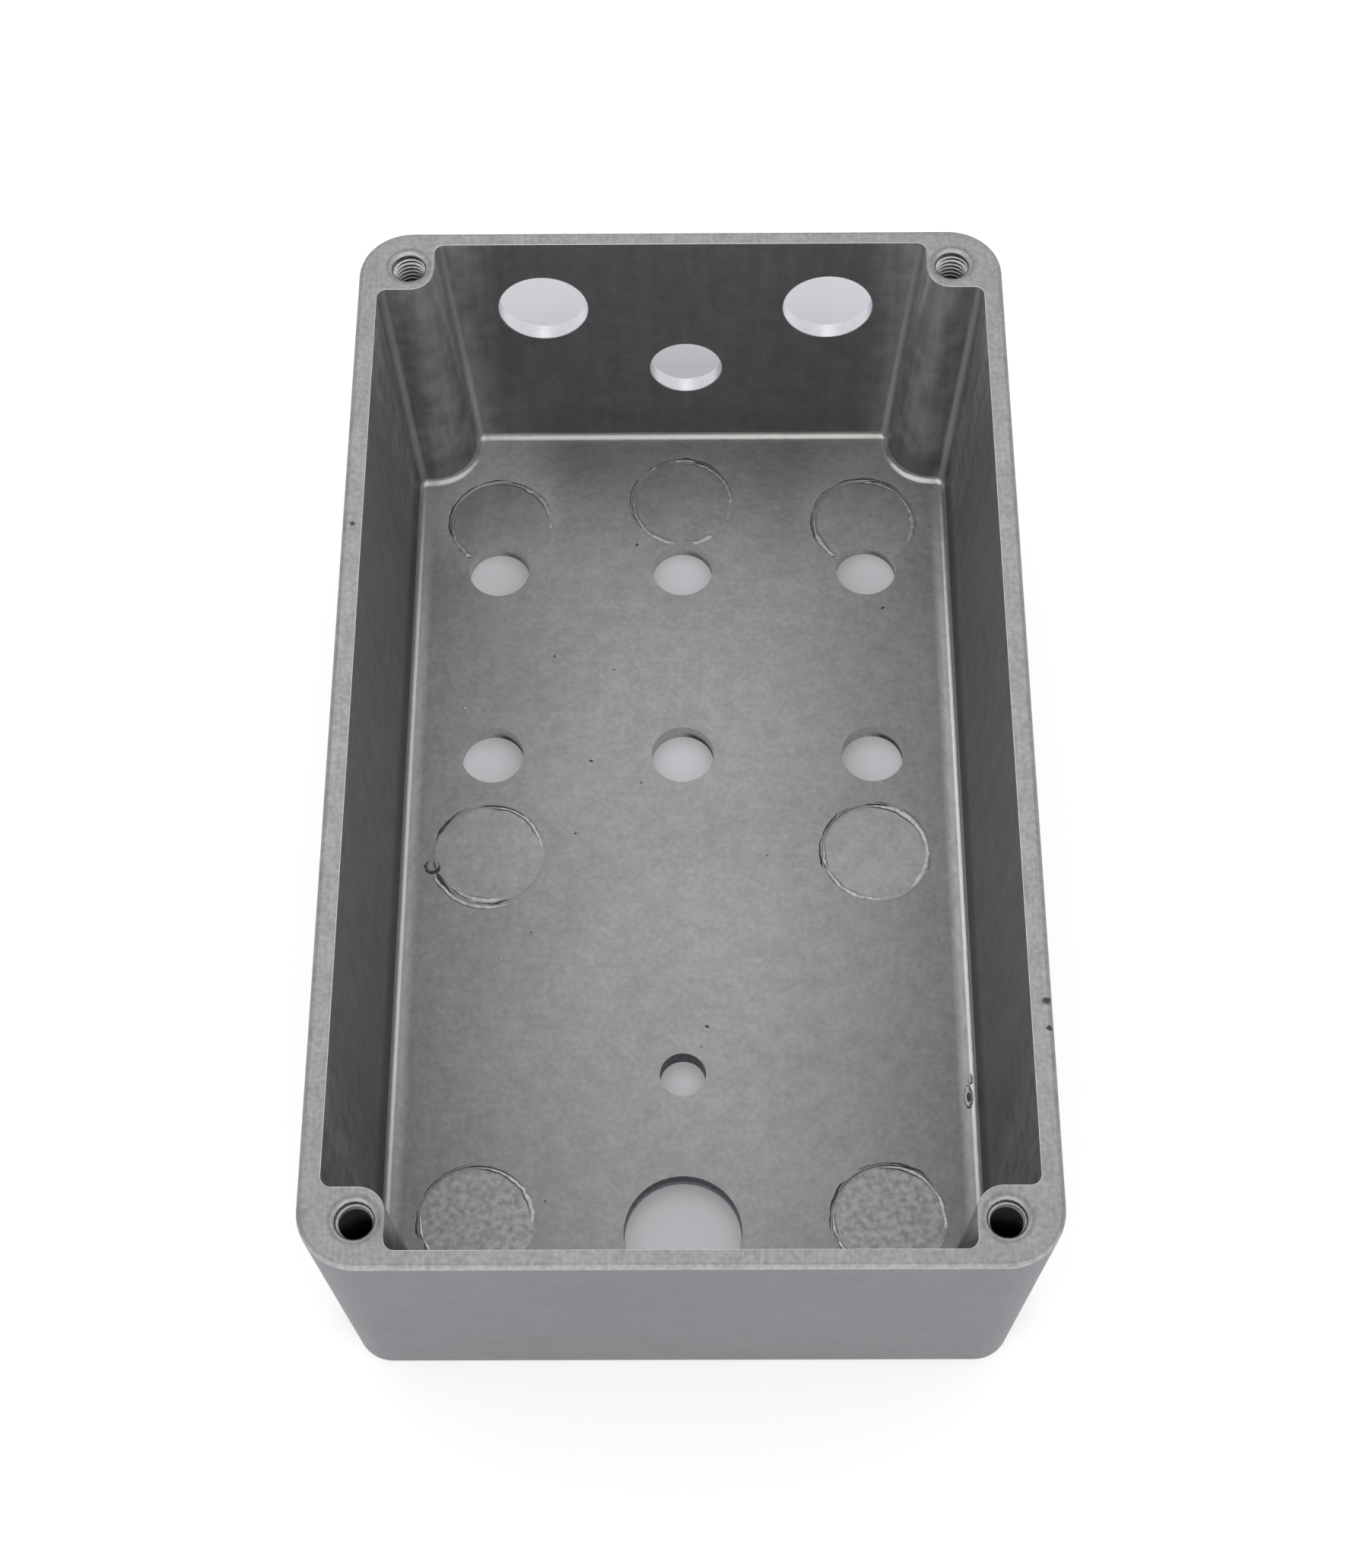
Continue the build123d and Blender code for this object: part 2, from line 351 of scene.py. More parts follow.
def cast_skin(settings):
    """Die-cast aluminium as the mould's core left it: dull, with a fine grain, patches of oxide and pale
    smears in the far corners, most on the left. Painted light makes the floor's middle paler, and painted
    shade darkens it towards the side walls and the near end.
    The upright faces are darker with painted shade, and a painted highlight runs along the floor's edge."""
    material, add, shader, place = metal("die_cast_skin", 0.6)
    facing = add(SPLIT, {0: add("ShaderNodeNewGeometry")["Normal"]})
    where = add(SPLIT, {0: place})
    plan = add(SPLIT, {0: add(VECTOR_MATH, {0: place}, operation="ABSOLUTE")[0]})
    off_wall = add(MAP_RANGE, {0: facing["Z"], START: 0.15, END: 0.35})[0]
    bright = painted_fillet_highlight(add, facing, plan, where, off_wall)

    colour = toned(add, skin_tone(add, settings, place), settings.dark_colour, settings.light_colour)
    # Painted light in the floor's middle, and painted shade towards the side walls and the near end
    middle = add(MAP_RANGE, {0: plan["X"], START: 8 * MM, END: 29 * MM, LOW: 1.12, HIGH: 0.84})[0]
    near = add(MAP_RANGE, {0: where["Y"], START: -50 * MM, END: -15 * MM, LOW: 0.9})[0]
    smear = add(MAP_RANGE, {0: where["X"], START: 5 * MM, END: -5 * MM, LOW: 1.4, HIGH: 1.85})[0]
    smear = add(MAP_RANGE, {0: plan["X"], START: 13 * MM, END: 20 * MM, LOW: 1.0, HIGH: smear})[0]
    smear = add(MAP_RANGE, {0: where["Y"], START: 36 * MM, END: 45 * MM, LOW: 1.0, HIGH: smear})[0]
    for factor in (middle, near, smear):
        colour = add(VECTOR_MATH, {0: colour, "Scale": factor}, operation="SCALE")[0]
    upright = upright_skin(add, settings, place, plan, where)
    colour = add(MIX, {0: off_wall, MIX_A: upright, MIX_B: colour}, data_type="RGBA")[MIX_RESULT]
    # Painted highlight along the floor's edge and at the posts' roots, which is also glossier there
    fillet = (*settings.fillet_highlight_colour, 1)
    colour = add(MIX, {0: bright, MIX_A: colour, MIX_B: fillet}, data_type="RGBA")[MIX_RESULT]
    gloss = add(MAP_RANGE, {0: bright, LOW: 0.6, HIGH: 0.32})[0]
    shader.id_data.links.new(gloss, shader.inputs["Roughness"])
    waves = layered(add, place, [(settings.grain, 0.5, EVEN), (settings.mottle, 1.0, EVEN),
                                 (5 * MM, 2.0, EVEN), (settings.drag, 1.5, UPRIGHT)])
    finish(add, shader, colour, [], waves, settings.relief)
    return material


def tumbled_skin(settings):
    """Die-cast aluminium smoothed in a tumbling drum: an even, fine, slightly blue grey."""
    material, add, shader, place = metal("tumbled_die_cast_skin", 0.5)
    tone = layered(add, place, [(0.5 * MM, 0.4, EVEN), (3 * MM, 0.3, EVEN), (20 * MM, 0.3, EVEN)])
    colour = toned(add, tone, shade(settings.outside_colour, 0.93), shade(settings.outside_colour, 1.07))
    finish(add, shader, colour, [], tone, 0.004 * MM)
    return material


def ground_rim(settings):
    """Die-cast aluminium ground flat on a belt: pale, with fine straight lines along the box, small
    duller spots, a painted highlight on the near edge, the prints of the screws' seats and a few dark pores."""
    material, add, shader, place = metal("belt_ground_rim", 0.42)
    tone = layered(add, place, [(0.3 * MM, 0.25, ALONG_BOX), (0.5 * MM, 0.5, EVEN), (2.4 * MM, 0.25, EVEN)])
    colour = toned(add, tone, shade(settings.rim_colour, 0.84), shade(settings.rim_colour, 1.16))
    facing = add(SPLIT, {0: add("ShaderNodeNewGeometry")["Normal"]})
    # Painted highlight on the faces that turn towards the near end
    near_edge_highlight = add(MAP_RANGE, {0: facing["Y"], START: -0.15, END: -0.5, LOW: 1.0, HIGH: 1.55})[0]

    away = add(VECTOR_MATH, {0: place}, operation="ABSOLUTE")[0]
    screw = add(VECTOR_MATH, {0: away, 1: (SCREW_X, SCREW_Y, RIM_Z)}, operation="DISTANCE")["Value"]
    seat = settings.seat_radius
    pale = add(MAP_RANGE, {0: screw, START: seat, END: seat - 0.2 * MM, LOW: 1.0, HIGH: 1.12})[0]
    edge = add(MAP_RANGE, {0: screw, START: seat, END: seat + 0.25 * MM, LOW: 0.76})[0]
    inside = add(MAP_RANGE, {0: screw, START: seat - 0.3 * MM, END: seat, LOW: 1.4, HIGH: 0.0})[0]
    ring = add(MATH, {0: edge, 1: inside}, operation="MAXIMUM")[0]
    ring = add(MATH, {0: ring, 1: pale}, operation="MINIMUM")[0]

    factors = [near_edge_highlight, ring]
    stray = 0.15 * MM
    ragged = add(MAP_RANGE, {0: tone, START: 0.3, END: 0.7, LOW: -stray, HIGH: stray})[0]
    pores = {"large_pore": 0.4 * MM, "small_pore": 0.26 * MM, "left_pore": 0.24 * MM}
    for name, radius in pores.items():
        centre = (*getattr(settings, name), RIM_Z)
        reach = add(VECTOR_MATH, {0: place, 1: centre}, operation="DISTANCE")["Value"]
        reach = add(MATH, {0: reach, 1: ragged}, operation="ADD")[0]
        factors.append(add(MAP_RANGE, {0: reach, START: 0.7 * radius, END: 1.3 * radius, LOW: 0.2})[0])
    finish(add, shader, colour, factors, tone, 0.012 * MM)
    return material


def drilled_wall(settings):
    """Aluminium cut by a sharp drill: as pale as the floor, with the cut's fine grain. Painted shade
    darkens it low in its right half, as a thin dark crescent, fainter in the far row."""
    material, add, shader, place = metal("drilled_aluminium", 0.45)
    tone = layered(add, place, [(0.35 * MM, 1.0, EVEN)])
    colour = toned(add, tone, shade(settings.drilled_colour, 0.9), shade(settings.drilled_colour, 1.1))
    facing = add(SPLIT, {0: add("ShaderNodeNewGeometry")["Normal"]})
    # Painted shade low on the faces that turn to the left, fainter in the far row
    right = add(MAP_RANGE, {0: facing["X"], START: 0.05, END: -0.35})[0]
    where = add(SPLIT, {0: place})
    far = add(MAP_RANGE, {0: where["Y"], START: 16 * MM, END: 32 * MM, LOW: 1.0, HIGH: 0.6})[0]
    low = add(MAP_RANGE, {0: where["Z"], START: 1.2 * MM, END: 0.7 * MM, HIGH: far})[0]
    painted_shade = add(MATH, {0: right, 1: low}, operation="MULTIPLY")[0]
    clear = add(MAP_RANGE, {0: painted_shade, LOW: 1.0, HIGH: 0.15})[0]
    finish(add, shader, colour, [clear], tone, 0.01 * MM)
    return material


def shaded_hole_wall(settings):
    """Aluminium cut by a drill and darkened by painted shade, with a painted reflection of the board
    that makes it paler again near the outside of the switch hole."""
    material, add, shader, place = metal("smeared_drilled_aluminium", 0.5)
    tone = layered(add, place, [(0.45 * MM, 1.0, EVEN)])
    colour = toned(add, tone, shade(settings.hole_shade_colour, 0.8), shade(settings.hole_shade_colour, 1.2))
    where = add(SPLIT, {0: place})
    # Painted reflection of the board, low in the switch hole
    switch = add(MAP_RANGE, {0: where["Y"], START: -33 * MM, END: -36 * MM, LOW: 1.0, HIGH: 2.6})[0]
    light_and_shade = add(MAP_RANGE, {0: where["Z"], START: 1 * MM, END: 0.8 * MM, LOW: 1.0, HIGH: switch})[0]
    finish(add, shader, colour, [light_and_shade], tone, 0.01 * MM)
    return material


def tapped_metal(settings):
    """Aluminium cut by a tap: bright at the mouth, and below it painted shade that makes it black,
    nearly at once in the near posts, and further down in the far ones."""
    material, add, shader, place = metal("tapped_aluminium", 0.3)
    tone = layered(add, place, [(0.35 * MM, 1.0, EVEN)])
    where = add(SPLIT, {0: place})
    bright, near, far = RIM_Z - 0.6 * MM, RIM_Z - 1.7 * MM, RIM_Z - 5 * MM
    # Painted shade in the tapped hole: dark below the dark level, lighter towards the mouth
    dark_level = add(MAP_RANGE, {0: where["Y"], START: -SCREW_Y, END: SCREW_Y, LOW: near, HIGH: far})[0]
    light_and_shade = add(MAP_RANGE, {0: where["Z"], START: dark_level, END: bright, LOW: 0.03, HIGH: 0.9})[0]
    colour = toned(add, tone, shade(settings.cut_colour, 0.8), settings.cut_colour)
    finish(add, shader, colour, [light_and_shade], tone, 0.01 * MM)
    return material


def broken_edge(settings):
    """Aluminium freshly cut, by a file along the edges and by a drill in the socket holes: bright,
    smooth and slightly blue."""
    return speckled("filed_edge", 0.4, settings.edge_colour, (0.94, 1), 0.5 * MM, 0.004 * MM)


def pin_print(settings):
    """Die-cast aluminium against an ejector pin's end: like the floor, but speckled by the pins of
    the near row, whose ends are worn."""
    material, add, shader, place = metal("pin_printed_skin", 0.58)
    dark, light = settings.dark_colour, settings.light_colour
    speckle = layered(add, place, [(0.7 * MM, 1.0, EVEN)])
    worn = add(MAP_RANGE, {0: add(SPLIT, {0: place})["Y"], START: -20 * MM, END: -30 * MM})[0]
    even = toned(add, skin_tone(add, settings, place), shade(dark, 1.05), shade(light, 1.08))
    rough = toned(add, speckle, shade(dark, 0.86), shade(light, 1.14), 0.2)
    colour = add(MIX, {0: worn, MIX_A: even, MIX_B: rough}, data_type="RGBA")[MIX_RESULT]
    finish(add, shader, colour, [], speckle, 0.02 * MM)
    return material


def beside_screw(point, reach):
    """True near the axis of a tapped hole."""
    return hypot(abs(point.x) - SCREW_X, abs(point.y) - SCREW_Y) < reach


def in_hole(point, hole, margin=0.0):
    """True within a drilled hole, seen along its axis."""
    centre, radius = hole["pos_m"], hole["dims"]["r_mm"] * MM + margin
    across = 1 if hole["axis"][2] else 2
    return hypot(point.x - centre[0], point[across] - centre[across]) < radius


class PEDALBOX_OT_casting(bpy.types.Operator):
    """Dress the casting: broken edges and a finish for each kind of surface"""

    bl_idname = "pedal_box.casting"
    bl_label = "Casting"

    def execute(self, context):
        settings = context.scene.pedal_box_casting
        thread = context.scene.pedal_box_thread
        work = bmesh.new()
        work.from_mesh(frame["nodes"][NODE].data)
        clean_surface(work)
        sink_pin_marks(work, context.scene.pedal_box_flash, settings.pin_sink)
        finish_faces(work)
        open_to_thread(work, thread.major_radius)
        break_edges(work, settings)
        mesh = bpy.data.meshes.new("casting")
        work.to_mesh(mesh)
        work.free()
        for make_finish in FINISHES:
            mesh.materials.append(make_finish(settings))
        mesh.shade_smooth()
        mesh.set_sharp_from_angle(angle=radians(33))
        piece = bpy.data.objects.new("casting", mesh)
        context.scene.collection.objects.link(piece)
        weigh_normals(piece)
        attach(piece, BODY)
        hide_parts(NODE)
        return {"FINISHED"}


FINISHES = [cast_skin, tumbled_skin, ground_rim, drilled_wall, shaded_hole_wall, tapped_metal, broken_edge,
            pin_print]
INSIDE, OUTSIDE, RIM, DRILLED, SHADED_WALL, TAPPED, EDGE, PRINT = range(len(FINISHES))

# Groups of broken edges in the order of their cutting, with the finish of each
BROKEN = {"rim": EDGE, "inside": INSIDE, "smeared": SHADED_WALL, "outside": OUTSIDE, "wall": EDGE}


def clean_surface(work):
    """Joins the loose triangles and takes out the edges inside flat faces."""
    bmesh.ops.remove_doubles(work, verts=work.verts, dist=0.002 * MM)
    bmesh.ops.dissolve_limit(work, angle_limit=radians(0.3), verts=work.verts, edges=work.edges)


def open_to_thread(work, major_radius):
    """Widens the walls of the tapped holes to the bottom of the thread's groove."""
    slack = 0.05 * MM
    for vert in work.verts:
        axis = Vector((SCREW_X if vert.co.x > 0 else -SCREW_X, SCREW_Y if vert.co.y > 0 else -SCREW_Y))
        out = vert.co.xy - axis
        if abs(out.length - SCREW_RADIUS) < slack and vert.co.z > RIM_Z / 2:
            if vert.co.z > RIM_Z - 1 * MM:
                vert.co.z += major_radius - SCREW_RADIUS
            vert.co.xy = axis + out.normalized() * major_radius


def sink_pin_marks(work, settings, sink):
    """Tilts each pin mark, so that its left and far side lie deeper in the floor."""
    slope = Vector((-0.8, 0.6)) * sink / settings.pin_radius
    for face in work.faces:
        centre = face.calc_center_median()
        if not (face.normal.z > 0.99 and IN_FLOOR < centre.z < FLOOR_Z - 0.05 * MM):
            continue
        pin = min(pin_places(settings), key=lambda place: (place - centre.xy).length)
        for vert in face.verts:
            vert.co.z -= (vert.co.xy - pin).dot(slope)


def pin_places(settings):
    """Centres of the ejector pins: two columns of three, and one between them at the far end."""
    rows = (settings.row, settings.middle_shift, -settings.row)
    places = [Vector((side * settings.column, row)) for side in (-1, 1) for row in rows]
    return [*places, Vector((0, settings.centre_pin))]


def has_shaded_wall(hole):
    """True for the lamp hole and the switch hole."""
    return not hole["name"].startswith("control")


def edge_group(edge):
    """The group of broken edges that a sharp edge is in, or None where it stays sharp."""
    middle = (edge.verts[0].co + edge.verts[1].co) / 2
    if all(abs(v.co.z - RIM_Z) < 0.01 * MM for v in edge.verts) and not beside_screw(middle, 3 * MM):
        return "rim"
    if any(on_hole_edge(edge, hole) for hole in WALL_HOLES):
        return "wall"
    for hole in FLOOR_HOLES:
        if on_hole_edge(edge, hole):
            # The far side of the lamp and switch holes takes the painted shade of their walls
            far_side = middle.y > hole["pos_m"][1] - 0.4 * hole["dims"]["r_mm"] * MM
            inside = "smeared" if far_side and has_shaded_wall(hole) else "inside"
            return "outside" if middle.z < IN_FLOOR else inside
    return None


def break_edges(work, settings):
    """Takes the sharp edges off the rim and the drilled holes."""
    groups = {name: [] for name in [*BROKEN, None]}
    for edge in work.edges:
        if edge.is_manifold and edge.calc_face_angle() >= radians(60):
            groups[edge_group(edge)].append(edge)
    widths = {"rim": settings.rim_break, "smeared": 2 * settings.hole_break}
    for name, material in BROKEN.items():
        bmesh.ops.bevel(work, geom=[edge for edge in groups[name] if edge.is_valid],
                        offset=widths.get(name, settings.hole_break), segments=2, profile=0.5,
                        affect="EDGES", clamp_overlap=True, material=material)


def on_hole_edge(edge, hole):
    """True for an edge round the mouth of a drilled hole."""
    slack = 0.06 * MM
    along = 2 if hole["axis"][2] else 1
    near = all(in_hole(v.co, hole, slack) and not in_hole(v.co, hole, -slack) for v in edge.verts)
    far = max(abs(v.co[along] - hole["pos_m"][along]) for v in edge.verts)
    lies_across = abs(edge.verts[0].co[along] - edge.verts[1].co[along]) < 1 * MM
    return near and lies_across and far < 3 * MM


def finish_faces(work):
    """Gives each face the finish of its surface."""
    slack = 0.02 * MM
    rim_edge = 0.55 * MM
    countersink = 0.66 * MM
    for face in work.faces:
        centre = face.calc_center_median()
        drop = RIM_Z - centre.z
        inset = min(BOX_HIGH.x - DRAFT * drop - abs(centre.x), BOX_HIGH.y - DRAFT * drop - abs(centre.y))
        floor_cut = [h for h in FLOOR_HOLES if centre.z < 3 * MM and abs(face.normal.z) < 0.5
                     and in_hole(centre, h, slack)]
        wall_cut = [h for h in WALL_HOLES if centre.y > BOX_HIGH.y - 6 * MM and abs(face.normal.y) < 0.5
                    and in_hole(centre, h, slack)]
        if beside_screw(centre, 2.25 * MM) and centre.z > RIM_Z / 2:
            face.material_index = RIM if drop < countersink else TAPPED
        elif drop < rim_edge:
            face.material_index = RIM
        elif floor_cut:
            face.material_index = SHADED_WALL if has_shaded_wall(floor_cut[0]) else DRILLED
        elif wall_cut:
            face.material_index = EDGE
        elif IN_FLOOR < centre.z < FLOOR_Z - 0.01 * MM and face.normal.z > 0.5:
            face.material_index = PRINT
        elif face.normal.z < -0.1 or (inset < 2.5 * MM and face.normal.xy.dot(centre.xy) > 0):
            face.material_index = OUTSIDE
        else:
            face.material_index = INSIDE


def weigh_normals(piece):
    """Keeps flat faces flat beside their rounded edges."""
    modifier = piece.modifiers.new("weighted", "WEIGHTED_NORMAL")
    modifier.keep_sharp = True
    modifier.weight = 100
    plain(piece)


def plain(piece):
    """Turns what a piece's modifiers make into its own mesh."""
    depsgraph = bpy.context.evaluated_depsgraph_get()
    made = bpy.data.meshes.new_from_object(piece.evaluated_get(depsgraph))
    piece.modifiers.clear()
    old = piece.data
    piece.data = made
    bpy.data.meshes.remove(old)
    made.name = piece.name


class NodeTree:
    """A Geometry Nodes tree that takes a mesh, named numbers and a material."""

    def __init__(self, name, floats, integers=()):
        self.tree = bpy.data.node_groups.new(name, "GeometryNodeTree")
        self.add = partial(add_node, self.tree)
        self.identifiers = {}
        kinds = {"Geometry": "Geometry", **dict.fromkeys(floats, "Float"),
                 **dict.fromkeys(integers, "Int"), "Material": "Material"}
        for label, kind in kinds.items():
            socket = self.tree.interface.new_socket(label, in_out="INPUT", socket_type=f"NodeSocket{kind}")
            self.identifiers[label] = socket.identifier
        self.tree.interface.new_socket("Geometry", in_out="OUTPUT", socket_type="NodeSocketGeometry")
        self.given = self.add("NodeGroupInput")

    def end(self, geometry):
        """Ends the tree in plain geometry with its material."""
        whole = self.add("GeometryNodeRealizeInstances", {"Geometry": geometry})[0]
        look = {"Geometry": whole, "Material": self.given["Material"]}
        self.add("NodeGroupOutput", {"Geometry": self.add("GeometryNodeSetMaterial", look)[0]})

    def build(self, context, name, mesh, values):
        """Runs the tree on a mesh and returns the piece that it makes."""
        piece = bpy.data.objects.new(name, mesh)
        modifier = piece.modifiers.new(name, "NODES")
        modifier.node_group = self.tree
        for label, value in values.items():
            modifier[self.identifiers[label]] = value
        context.scene.collection.objects.link(piece)
        plain(piece)
        if not piece.data.polygons:
            raise RuntimeError(f"{name} came out empty")
        return piece


def thread_tree():
    """One helical ridge with a trapezium section, repeated in the four posts."""
    made = NodeTree("internal_thread", ["Spacing X", "Spacing Y", "Bottom", "Major Radius", "Crest Radius",
                                        "Pitch", "Length"], ["Steps"])
    given, add = made.given, made.add
    turns = add(MATH, {0: given["Length"], 1: given["Pitch"]}, operation="DIVIDE")[0]
    helix = add("GeometryNodeCurveSpiral", {
        "Resolution": given["Steps"], "Rotations": turns, "Start Radius": given["Major Radius"],
        "End Radius": given["Major Radius"], "Height": given["Length"],
    })[0]
    helix = add("GeometryNodeSetCurveNormal", {"Curve": helix}, mode="Z_UP")[0]

    foot_share, crest_share, run_in_turns = 0.98, 0.2, 0.67
    depth = add(MATH, {0: given["Major Radius"], 1: given["Crest Radius"]}, operation="SUBTRACT")[0]
    height = add(MATH, {0: depth, 1: 2.0}, operation="MULTIPLY")[0]
    foot = add(MATH, {0: given["Pitch"], 1: foot_share}, operation="MULTIPLY")[0]
    crest = add(MATH, {0: given["Pitch"], 1: crest_share}, operation="MULTIPLY")[0]
    section = add("GeometryNodeCurvePrimitiveQuadrilateral", {
        "Offset": 0.0, "Bottom Width": foot, "Top Width": crest, "Height": height,
    }, mode="TRAPEZOID")[0]
    section = add("GeometryNodeTransform", {"Geometry": section, "Rotation": (0, 0, -pi / 2)})[0]

    left = add(MATH, {0: 1.0, 1: add("GeometryNodeSplineParameter")[0]}, operation="SUBTRACT")[0]
    turns_left = add(MATH, {0: left, 1: turns}, operation="MULTIPLY")[0]
    run_in = add(MAP_RANGE, {0: turns_left, END: run_in_turns, LOW: 0.02})[0]
    ridge = add("GeometryNodeCurveToMesh", {
        "Curve": helix, "Profile Curve": section, "Scale": run_in, "Fill Caps": True,
    })[0]
    posts = add("GeometryNodeMeshGrid", {
        "Size X": given["Spacing X"], "Size Y": given["Spacing Y"], "Vertices X": 2, "Vertices Y": 2,
    })[0]
    lift = add(JOIN, {"Z": given["Bottom"]})[0]
    posts = add("GeometryNodeSetPosition", {"Geometry": posts, "Offset": lift})[0]
    made.end(add("GeometryNodeInstanceOnPoints", {"Points": posts, "Instance": ridge})[0])
    return made


class PEDALBOX_OT_screw_threads(bpy.types.Operator):
    """Cut the thread in the four corner posts"""

    bl_idname = "pedal_box.screw_threads"
    bl_label = "Screw threads"

    def execute(self, context):
        settings = context.scene.pedal_box_thread
        start = settings.major_radius - SCREW_RADIUS + settings.pitch
        piece = thread_tree().build(context, "screw_threads", bpy.data.meshes.new("seed"), {
            "Spacing X": 2 * SCREW_X,
            "Spacing Y": 2 * SCREW_Y,
            "Bottom": RIM_Z - settings.depth + settings.pitch / 2,
            "Major Radius": settings.major_radius,
            "Crest Radius": SCREW_RADIUS,
            "Pitch": settings.pitch,
            "Length": settings.depth - settings.pitch / 2 - start,
            "Steps": settings.steps,
            "Material": bpy.data.materials["tapped_aluminium"],
        })
        piece.data.shade_smooth()
        piece.data.set_sharp_from_angle(angle=radians(25))
        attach(piece, BODY)
        return {"FINISHED"}


# Values that each point of the flash carries
RING_VALUES = ("centre_x", "centre_y", "centre_z", "reach", "start", "sweep", "side", "focus", "strength")


def flash_tree():
    """A thin uneven ridge round each point of a mesh, along the arc that the point's values give."""
    made = NodeTree("pin_flash", ["Width", "Height", "Seed", "Least"], ["Steps"])
    given, add = made.given, made.add
    value = {
        name: add("GeometryNodeInputNamedAttribute", {"Name": name}, data_type="FLOAT")[0]
        for name in RING_VALUES
    }
    ring = add("GeometryNodeCurvePrimitiveCircle", {"Radius": 1.0, "Resolution": given["Steps"]})[0]
    ring = add("GeometryNodeSetSplineCyclic", {"Geometry": ring, "Cyclic": False})[0]
    lines = add("GeometryNodeInstanceOnPoints", {"Points": given["Geometry"], "Instance": ring})[0]
    lines = add("GeometryNodeRealizeInstances", {"Geometry": lines})[0]
    along = add("GeometryNodeSplineParameter")[0]
    angle = add(MATH, {0: along, 1: value["sweep"], 2: value["start"]}, operation="MULTIPLY_ADD")[0]
    cosine = add(MATH, {0: angle}, operation="COSINE")[0]
    sine = add(MATH, {0: angle}, operation="SINE")[0]
    x = add(MATH, {0: cosine, 1: value["reach"], 2: value["centre_x"]}, operation="MULTIPLY_ADD")[0]
    y = add(MATH, {0: sine, 1: value["reach"], 2: value["centre_y"]}, operation="MULTIPLY_ADD")[0]
    put = add(JOIN, {"X": x, "Y": y, "Z": value["centre_z"]})[0]
    lines = add("GeometryNodeSetPosition", {"Geometry": lines, "Position": put})[0]

    # Waves in the ridge's path and breaks in it, in waves per metre: about 1.1 and 3.8 mm long
    path_waves, break_waves, stray, thinnest = 900.0, 260.0, 0.22 * MM, 0.04
    place = add("GeometryNodeInputPosition")[0]
    wander = add(NOISE, {"Vector": place, "W": given["Seed"], "Scale": path_waves, "Detail": 2.0},
                 noise_dimensions="4D")[0]
    drift = add(MAP_RANGE, {0: wander, LOW: -stray, HIGH: stray})[0]
    outward = add(JOIN, {"X": cosine, "Y": sine})[0]
    nudge = add(VECTOR_MATH, {0: outward, "Scale": drift}, operation="SCALE")[0]
    lines = add("GeometryNodeSetPosition", {"Geometry": lines, "Offset": nudge})[0]

    gaps = add(NOISE, {"Vector": place, "W": given["Seed"], "Scale": break_waves, "Detail": 3.0},
               noise_dimensions="4D")[0]
    size = add(MAP_RANGE, {0: gaps, START: 0.38, END: 0.62, LOW: given["Least"], HIGH: 1.15})[0]
    arch = add(MATH, {0: add(MATH, {0: along, 1: pi}, operation="MULTIPLY")[0]}, operation="SINE")[0]
    ends = add(MAP_RANGE, {0: arch, END: 0.07})[0]
    turned = add(MATH, {0: angle, 1: value["side"]}, operation="SUBTRACT")[0]
    towards = add(MATH, {0: turned}, operation="COSINE")[0]
    past = add(MATH, {0: towards, 1: value["focus"]}, operation="SUBTRACT")[0]
    strong = add(MAP_RANGE, {0: past, END: 0.5})[0]
    for factor in (ends, strong, value["strength"]):
        size = add(MATH, {0: size, 1: factor}, operation="MULTIPLY")[0]
    size = add(MATH, {0: size, 1: thinnest}, operation="MAXIMUM")[0]

    doubled = add(MATH, {0: given["Height"], 1: 2.0}, operation="MULTIPLY")[0]
    shape = add(JOIN, {"X": given["Width"], "Y": doubled, "Z": 1.0})[0]
    section = add("GeometryNodeCurvePrimitiveCircle", {"Resolution": 8, "Radius": 0.5})[0]
    section = add("GeometryNodeTransform", {"Geometry": section, "Scale": shape})[0]
    lines = add("GeometryNodeSetCurveNormal", {"Curve": lines}, mode="Z_UP")[0]
    made.end(add("GeometryNodeCurveToMesh", {
        "Curve": lines, "Profile Curve": section, "Scale": size, "Fill Caps": True,
    })[0])
    return made


def free_arc(x, y, radius, margin):
    """Start and sweep of the part of a circle that no drilled hole cuts."""
    for hole in FLOOR_HOLES:
        away = Vector((hole["pos_m"][0] - x, hole["pos_m"][1] - y))
        reach = hole["dims"]["r_mm"] * MM + margin
        if abs(radius - reach) < away.length < radius + reach:
            share = (radius ** 2 + away.length ** 2 - reach ** 2) / (2 * radius * away.length)
            half = atan2((1 - share ** 2) ** 0.5, share)
            return atan2(away.y, away.x) + half, 2 * pi - 2 * half
    return radians(200), 2 * pi


def point_mesh(name, points, keys):
    """A mesh of loose points that carry the values with the given names."""
    mesh = bpy.data.meshes.new(name)
    mesh.from_pydata([point["at"] for point in points], [], [])
    for key in keys:
        layer = mesh.attributes.new(key, "FLOAT", "POINT")
        layer.data.foreach_set("value", [point[key] for point in points])
    return mesh


def ring_points(places, radius, level, side, focus, strength=1.0):
    """Values of a ridge round each place, strongest towards one side, and shorter with more focus."""
    clearance = 0.25 * MM
    points = []
    for x, y in places:
        start, sweep = free_arc(x, y, radius, clearance)
        points.append({"at": (x, y, level), "centre_x": x, "centre_y": y, "centre_z": level, "reach": radius,
                       "start": start, "sweep": sweep, "side": radians(side), "focus": focus,
                       "strength": strength})
    return points


def squeezed_metal(settings):
    """Metal squeezed up round an ejector pin and half flattened again: paler than the floor, partly as a
    painted highlight on the ridge.
    """
    return speckled("squeezed_flash", 0.5, settings.flash_and_highlight_colour, (0.75, 1.1), 0.5 * MM, 0.02 * MM)


